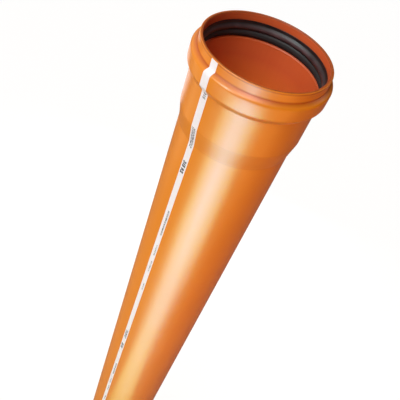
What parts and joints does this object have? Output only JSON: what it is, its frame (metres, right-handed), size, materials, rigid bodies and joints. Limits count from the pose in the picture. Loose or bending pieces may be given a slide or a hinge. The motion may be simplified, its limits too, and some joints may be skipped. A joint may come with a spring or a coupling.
{
  "type": "pvc drain pipe",
  "caption": "Orange-brown plastic drain pipe with a push-fit socket, a ring bead that holds a black rubber lip seal, and a chamfered plain end.",
  "frame": {"origin": "on the pipe axis, at the face of the plain end that the pipe stands on", "axes": "+Z along the pipe axis, from the plain end to the socket mouth"},
  "size_m": [0.3606, 0.3606, 3.194],
  "materials": {
    "pipe_plastic": "smooth extruded, soft gloss",
    "seal_rubber": "smooth moulded rubber"
  },
  "bodies": {
    "root": {"pipe": "pipe_plastic", "sealing_ring": "seal_rubber"}
  },
  "joints": []
}
